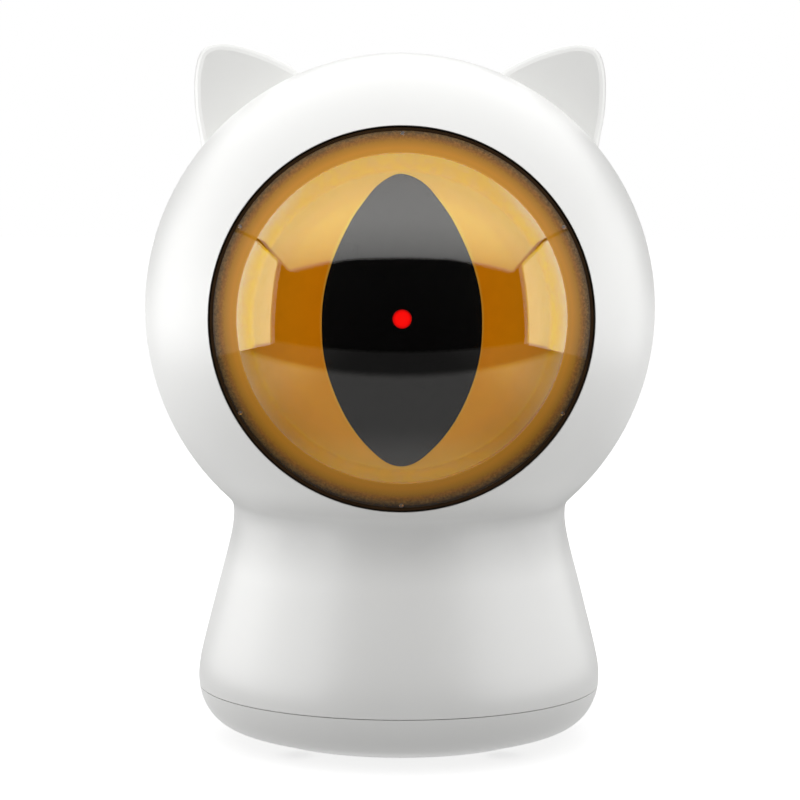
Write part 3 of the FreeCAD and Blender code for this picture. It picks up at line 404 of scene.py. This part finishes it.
def eyeball_amber():
    """Amber ball behind the disc, painted darker round the side: painted shade where the rim shades the ball."""
    m = Mat("eyeball_amber")
    r = axis_radius(m)
    x, y, z = m.xyz(m.from_point(HEAD))
    # painted shade: the amber darkens towards the side of the ball
    side_shaded_amber = m.ramp(m.remap(r, 0.0250, 0.0290), [
        (0.0, (1.0, 0.44, 0.040, 1)), (0.18, (0.97, 0.43, 0.042, 1)), (0.36, (0.93, 0.41, 0.045, 1)),
        (0.52, (0.88, 0.38, 0.046, 1)), (0.66, (0.82, 0.35, 0.046, 1)), (0.80, (0.74, 0.31, 0.044, 1)),
        (1.0, (0.62, 0.26, 0.040, 1))])
    mott = m.remap(m.noise(700.0, 4.0, 0.65), 0.3, 0.7, 0.92, 1.08)
    n = m.new("ShaderNodeVectorMath", operation="SCALE")
    m.link(side_shaded_amber, n.inputs[0])
    m.link(mott, n.inputs["Scale"])
    m.colour(n.outputs["Vector"])
    fine = m.noise(3800.0, 2.0, 0.6)
    m.rough(m.remap(fine, 0.3, 0.7, 0.3, 0.42))
    m.normal(m.bump(fine, 0.05, 0.00004))
    m.p.inputs["Specular IOR Level"].default_value = 0.25
    return m.m


def bezel_brown():
    """Amber ring with fine lighter flecks, behind the dome's lacquered rim."""
    m = Mat("bezel_amber_flecked")
    fleck = m.noise(2600.0, 4.0, 0.75)
    m.colour(m.ramp(fleck, [(0.35, (0.62, 0.26, 0.03, 1.0)), (0.52, (0.76, 0.34, 0.05, 1.0)),
                            (0.64, (0.86, 0.44, 0.09, 1.0)), (0.78, (0.92, 0.56, 0.18, 1.0))]))
    m.rough(m.remap(fleck, 0.3, 0.7, 0.3, 0.6))
    m.normal(m.bump(fleck, 0.3, 0.0001))
    return m.m


def laser_red():
    m = Mat("laser_window_red")
    r = axis_radius(m, HEAD + Vector((0, 0, 0.0005)))
    glow = m.ramp(m.remap(r, 0.0, 0.0014), [
        (0.0, (0.95, 0.004, 0.002, 1)), (0.7, (0.90, 0.0015, 0.0008, 1)), (0.9, (0.60, 0.001, 0.0006, 1)),
        (1.0, (0.20, 0.0008, 0.0004, 1))])
    m.link(glow, m.p.inputs["Emission Color"])
    m.p.inputs["Emission Strength"].default_value = 1.0
    m.colour(m.ramp(m.noise(900.0, 2.0), [(0.3, lin(120, 2, 2)), (0.7, lin(140, 4, 3))]))
    m.set(Roughness=0.35)
    m.p.inputs["Specular IOR Level"].default_value = 0.1
    return m.m


def circuit_board():
    m = Mat("circuit_board_green")
    weave = m.new("ShaderNodeTexWave", wave_type="BANDS", bands_direction="DIAGONAL")
    weave.inputs["Scale"].default_value = 900.0
    weave.inputs["Distortion"].default_value = 0.6
    m.link(m.co, weave.inputs["Vector"])
    traces = m.new("ShaderNodeTexBrick")
    traces.inputs["Scale"].default_value = 420.0
    traces.inputs["Mortar Size"].default_value = 0.035
    traces.inputs["Color1"].default_value = lin(14, 74, 40)
    traces.inputs["Color2"].default_value = lin(16, 82, 44)
    traces.inputs["Mortar"].default_value = lin(34, 118, 66)
    m.link(m.co, traces.inputs["Vector"])
    m.colour(m.mix(m.remap(weave.outputs["Fac"], 0.0, 1.0, 0.0, 0.12), traces.outputs["Color"], lin(40, 110, 70)))
    m.rough(m.remap(m.noise(900.0, 2.0), 0.3, 0.7, 0.28, 0.4))
    m.normal(m.bump(traces.outputs["Fac"], 0.2, 0.00003))
    return m.m


def light_pipe():
    m = Mat("light_pipe_frosted")
    f = m.noise(2500.0, 2.0)
    m.colour(m.ramp(f, [(0.3, lin(214, 222, 220)), (0.7, lin(232, 238, 236))]))
    m.rough(m.remap(f, 0.3, 0.7, 0.24, 0.36))
    m.set(IOR=1.49)
    m.p.inputs["Coat Weight"].default_value = 0.5
    m.p.inputs["Coat Roughness"].default_value = 0.1
    m.normal(m.bump(f, 0.1, 0.00005))
    return m.m


MATS = {
    "white_shell": white_shell(),
    "rubber_black": rubber("rubber_dark", lin(38, 38, 39)),
    "steel": metal("steel_screws", (0.56, 0.56, 0.57, 1.0)),
    "brass": metal("brass_turned", (0.80, 0.56, 0.24, 1.0)),
    "dome_clear": dome_clear(),
    "gasket_black": rubber("gasket_dark", (0.030, 0.013, 0.0025, 1.0), 0.6, spec=0.08),
    "bezel_brown": bezel_brown(),
    "eyeball_amber": eyeball_amber(),
    "iris_amber": iris_amber(),
    "pupil_black": pupil_black(),
    "laser_red": laser_red(),
    "holder_grey": moulded("holder_grey", lin(66, 68, 72), 0.05, (0.42, 0.55), 0.1).m,
    "pom_white": moulded("pom_gears", lin(226, 225, 216), 0.03, (0.32, 0.45), 0.06).m,
    "chassis_grey": moulded("chassis_grey", lin(92, 95, 100), 0.05, (0.42, 0.55), 0.1).m,
    "motor_can": metal("motor_can_steel", (0.62, 0.62, 0.61, 1.0), (0.25, 0.42)),
    "board_green": circuit_board(),
    "chip_black": moulded("chip_black", lin(24, 24, 26), 0.1, (0.45, 0.6), 0.15).m,
    "shell_metal": metal("plated_socket", (0.72, 0.72, 0.71, 1.0), (0.2, 0.32)),
    "control_grey": moulded("control_grey", lin(120, 123, 127), 0.03, (0.38, 0.5), 0.08).m,
    "light_pipe": light_pipe(),
    "cell_wrap": metal("cell_foil", (0.66, 0.67, 0.68, 1.0), (0.3, 0.5), (1, 1, 1), 1500.0),
    "wire_red": moulded("wire_red_pvc", lin(168, 22, 20), 0.06, (0.35, 0.5), 0.05).m,
}

BY_NODE = {}
for name, ob in NODES.items():
    for slot in ob.material_slots:
        key = slot.material.name.split(".")[0] if slot.material else ""
        mat = BY_NODE.get(name) or MATS.get(key)
        if mat is None:
            raise RuntimeError("no material for %s slot %r" % (name, key))
        slot.material = mat

# ------------------------------------------------------------------ the stage


# strengths of the soft lights, for matt surfaces
WASH = {"roof_front": 0.81, "roof_back": 1.08,
        "left_front_high": 0.92, "left_front_low": 0.96, "left_back_high": 0.80, "left_back_low": 0.88,
        "right_front_high": 0.78, "right_front_low": 0.54, "right_back_high": 0.46, "right_back_low": 0.38,
        "front_fill": 0.04, "back_fill": 0.30,
        "floor_left": 1.12, "floor_right": 1.08, "floor_close": 0.44, "floor_front": 0.66}
GLEAM = 1.0     # all that polished surfaces mirror
DIM = 0.05      # the room


def mesh_object(name, verts, faces, mat):
    me = bpy.data.meshes.new(name)
    me.from_pydata([tuple(v) for v in verts], [], faces)
    me.update()
    ob = bpy.data.objects.new(name, me)
    bpy.context.scene.collection.objects.link(ob)
    me.materials.append(mat)
    return ob


def floor_material():
    """Pale matt table in a light tent. What the camera sees runs out into pure white;
    what it throws back on the toy is given separately: bright beside the toy, dim in front."""
    m = Mat("pale_floor")
    n = m.noise(9.0, 3.0, 0.5)
    m.colour(m.ramp(n, [(0.3, (0.52, 0.52, 0.52, 1)), (0.7, (0.54, 0.54, 0.54, 1))]))
    m.set(Roughness=0.7)
    m.p.inputs["Specular IOR Level"].default_value = 0.1
    x, y, z = m.xyz()
    r = m.math("SQRT", m.math("ADD", m.math("MULTIPLY", x, x), m.math("MULTIPLY", y, y)))
    fade = m.remap(r, 0.028, 0.10, 0.66, 1.1, smooth=True)
    glow = m.new("ShaderNodeEmission")
    m.link(fade, glow.inputs["Strength"])
    both = m.new("ShaderNodeAddShader")
    m.link(m.p.outputs[0], both.inputs[0])
    m.link(glow.outputs[0], both.inputs[1])
    to_left = m.remap(x, -0.14, -0.06, 1.0, 0.0, smooth=True)
    to_right = m.remap(x, 0.06, 0.14, 0.0, 1.0, smooth=True)
    close = m.remap(r, 0.06, 0.10, 1.0, 0.0, smooth=True)
    middle = m.math("SUBTRACT", m.math("SUBTRACT", 1.0, to_left), to_right)
    middle = m.math("MULTIPLY", middle, m.math("SUBTRACT", 1.0, close))
    reach = m.remap(y, -0.20, -0.18, 0.0, 1.0, smooth=True)
    # light thrown back on matt surfaces
    wash = m.new("ShaderNodeEmission")
    total = None
    for part, key in ((to_left, "floor_left"), (to_right, "floor_right"), (close, "floor_close"), (middle, "floor_front")):
        v = m.math("MULTIPLY", part, WASH[key])
        total = v if total is None else m.math("ADD", total, v)
    m.link(total, wash.inputs["Strength"])
    # what polished surfaces mirror
    gleam = m.new("ShaderNodeEmission")
    near = m.remap(r, 0.05, 0.10, 0.92 * GLEAM, 0.44 * GLEAM, smooth=True)
    near = m.math("ADD", near, m.math("MULTIPLY", m.math("ADD", to_left, to_right), 0.36 * GLEAM))
    m.link(m.math("MULTIPLY", near, m.remap(reach, 0.0, 1.0, 0.17, 1.0)), gleam.inputs["Strength"])
    lp = m.new("ShaderNodeLightPath")
    other = m.new("ShaderNodeMixShader")
    m.link(lp.outputs["Is Glossy Ray"], other.inputs[0])
    m.link(wash.outputs[0], other.inputs[1])
    m.link(gleam.outputs[0], other.inputs[2])
    pick = m.new("ShaderNodeMixShader")
    m.link(lp.outputs["Is Camera Ray"], pick.inputs[0])
    m.link(other.outputs[0], pick.inputs[1])
    m.link(both.outputs[0], pick.inputs[2])
    m.link(pick.outputs[0], m.out.inputs["Surface"])
    return m.m


def table_top():
    """The pale table, a flat sheet reaching far behind the toy."""
    verts, faces = [], []
    ys = [-0.305, 2.2]
    for y in ys:
        verts += [(-1.5, y, 0.0), (1.5, y, 0.0)]
    faces.append((0, 1, 3, 2))
    ob = mesh_object("table_top", verts, faces, floor_material())
    return ob


table_top()


def glow_material(name, colour, strength, fade=None):
    m = bpy.data.materials.new(name)
    m.use_nodes = True
    nt = m.node_tree
    nt.nodes.remove(nt.nodes["Principled BSDF"])
    e = nt.nodes.new("ShaderNodeEmission")
    e.inputs["Color"].default_value = colour
    e.inputs["Strength"].default_value = strength
    if fade:
        y0, y1, low, y2, y3, end = fade
        co = nt.nodes.new("ShaderNodeTexCoord")
        sp = nt.nodes.new("ShaderNodeSeparateXYZ")
        mr = nt.nodes.new("ShaderNodeMapRange")
        mr.inputs["From Min"].default_value = y0
        mr.inputs["From Max"].default_value = y1
        mr.inputs["To Min"].default_value = low * strength
        mr.inputs["To Max"].default_value = strength
        nt.links.new(co.outputs["Object"], sp.inputs[0])
        nt.links.new(sp.outputs[1], mr.inputs["Value"])
        far = nt.nodes.new("ShaderNodeMapRange")
        far.inputs["From Min"].default_value = y2
        far.inputs["From Max"].default_value = y3
        far.inputs["To Min"].default_value = 1.0
        far.inputs["To Max"].default_value = end
        nt.links.new(sp.outputs[1], far.inputs["Value"])
        both = nt.nodes.new("ShaderNodeMath")
        both.operation = "MULTIPLY"
        nt.links.new(mr.outputs["Result"], both.inputs[0])
        nt.links.new(far.outputs["Result"], both.inputs[1])
        nt.links.new(both.outputs[0], e.inputs["Strength"])
    nt.links.new(e.outputs[0], nt.nodes["Material Output"].inputs["Surface"])
    return m


def panel(name, corners, wash, gleam, colour=(1, 1, 1, 1), fade=None):
    """A soft light: a flat glowing sheet that isn't seen directly. wash lights matt surfaces, gleam is what polished ones mirror."""
    for kind, strength in (("wash", wash), ("gleam", gleam * GLEAM)):
        if strength == 0.0:
            continue
        ob = mesh_object(name + "_" + kind, corners, [tuple(range(len(corners)))],
                         glow_material(name + "_" + kind, colour, strength, fade if kind == "gleam" else None))
        ob.visible_camera = False
        ob.visible_shadow = False
        ob.visible_diffuse = kind == "wash"
        ob.visible_glossy = kind == "gleam"
        ob.visible_transmission = kind == "gleam"


W = 0.26    # half width of the light tent
TOP = 0.124  # its roof above the head's centre


def rel(x, y, z):
    return (HEAD.x + x, HEAD.y + y, HEAD.z + z)


roof = [rel(-2.87 * TOP, -3.76 * TOP, TOP), rel(-0.2485, -0.214, TOP), rel(-2.20 * TOP, 1.6 * TOP, TOP),
        rel(2.20 * TOP, 1.6 * TOP, TOP), rel(0.250, -0.2105, TOP), rel(2.92 * TOP, -3.77 * TOP, TOP),
        rel(0.98 * TOP, -3.12 * TOP, TOP), rel(-0.98 * TOP, -3.12 * TOP, TOP)]
panel("roof_light", roof, 0.0, 2.2, fade=(-0.40, -0.21, 0.55, -0.165, -0.095, 0.97))
left = [rel(-W, -1.13 * W, 0.396 * W), rel(-W, -1.07 * W, -0.265 * W), rel(-W, 0.9 * W, -0.265 * W),
        rel(-W, 0.9 * W, 0.46 * W), rel(-W, -0.80 * W, 0.473 * W)]
panel("left_light", left, 0.0, 2.4)
right = [rel(W, -1.15 * W, 0.371 * W), rel(W, -1.09 * W, -0.265 * W), rel(W, 0.9 * W, -0.265 * W),
         rel(W, 0.9 * W, 0.46 * W), rel(W, -0.79 * W, 0.473 * W)]
panel("right_light", right, 0.0, 2.4)
# narrow strips that put the upright highlights on the base
panel("left_strip", [rel(-0.25, -0.035, -0.055), rel(-0.25, 0.085, -0.055), rel(-0.25, 0.085, 0.045),
                     rel(-0.25, -0.035, 0.045)], 0.0, 3.4)
panel("right_strip", [rel(0.25, -0.105, -0.055), rel(0.25, -0.005, -0.055), rel(0.25, -0.005, 0.045),
                      rel(0.25, -0.105, 0.045)], 0.0, 2.75)


def sheet(key, corners):
    panel(key, corners, WASH[key], 0.0)


sheet("roof_front", [rel(-0.30, -0.42, TOP), rel(-0.26, -0.12, TOP), rel(0.26, -0.12, TOP), rel(0.30, -0.42, TOP)])
sheet("roof_back", [rel(-0.26, -0.12, TOP), rel(-0.26, 0.22, TOP), rel(0.26, 0.22, TOP), rel(0.26, -0.12, TOP)])
for side, sx in (("left", -1), ("right", 1)):
    for part, y0, y1 in (("front", -0.29, -0.05), ("back", -0.05, 0.24)):
        for level, z0, z1 in (("low", -0.065, 0.02), ("high", 0.02, 0.122)):
            sheet("%s_%s_%s" % (side, part, level),
                  [rel(sx * W, y0, z0), rel(sx * W, y1, z0), rel(sx * W, y1, z1), rel(sx * W, y0, z1)])
sheet("front_fill", [rel(-0.22, -0.55, -0.02), rel(0.22, -0.55, -0.02), rel(0.22, -0.50, 0.12), rel(-0.22, -0.50, 0.12)])
sheet("back_fill", [rel(-0.22, 0.32, -0.06), rel(0.22, 0.32, -0.06), rel(0.22, 0.32, 0.12), rel(-0.22, 0.32, 0.12)])

world = bpy.data.worlds.new("studio")
bpy.context.scene.world = world
world.use_nodes = True
wn = world.node_tree
wn.nodes.clear()
wo = wn.nodes.new("ShaderNodeOutputWorld")
dim = wn.nodes.new("ShaderNodeBackground")
dim.inputs["Color"].default_value = (1, 1, 1, 1)
dim.inputs["Strength"].default_value = DIM
seen = wn.nodes.new("ShaderNodeBackground")
seen.inputs["Color"].default_value = (1, 1, 1, 1)
seen.inputs["Strength"].default_value = 1.0
lp = wn.nodes.new("ShaderNodeLightPath")
mx = wn.nodes.new("ShaderNodeMixShader")
mg = wn.nodes.new("ShaderNodeMixShader")
dark = wn.nodes.new("ShaderNodeBackground")
dark.inputs["Color"].default_value = (1, 1, 1, 1)
dark.inputs["Strength"].default_value = 0.004
wn.links.new(lp.outputs["Is Glossy Ray"], mg.inputs[0])
wn.links.new(dim.outputs[0], mg.inputs[1])
wn.links.new(dark.outputs[0], mg.inputs[2])
wn.links.new(lp.outputs["Is Camera Ray"], mx.inputs[0])
wn.links.new(mg.outputs[0], mx.inputs[1])
wn.links.new(seen.outputs[0], mx.inputs[2])
wn.links.new(mx.outputs[0], wo.inputs["Surface"])

# ------------------------------------------------------------------ the camera

cam = bpy.data.cameras.new("camera")
cam.lens = 130.05
cam.sensor_width = 36.0
cam.sensor_fit = "HORIZONTAL"
cam.clip_start = 0.01
cam.clip_end = 10.0
cam_ob = bpy.data.objects.new("camera", cam)
bpy.context.scene.collection.objects.link(cam_ob)
eye = Vector((-0.00441, -0.4586, 0.09617))
aim = Vector((0.00005, 0.0, 0.05397))
cam_ob.location = eye
turn = (aim - eye).to_track_quat("-Z", "Y").to_matrix() @ Matrix.Rotation(0.0032, 3, "Z")
cam_ob.rotation_euler = turn.to_euler()
bpy.context.scene.camera = cam_ob

bpy.context.scene.view_settings.view_transform = "Standard"
bpy.context.scene.view_settings.look = "None"
bpy.context.scene.view_settings.exposure = 0.0
bpy.context.scene.view_settings.gamma = 1.0

bpy.context.view_layer.update()
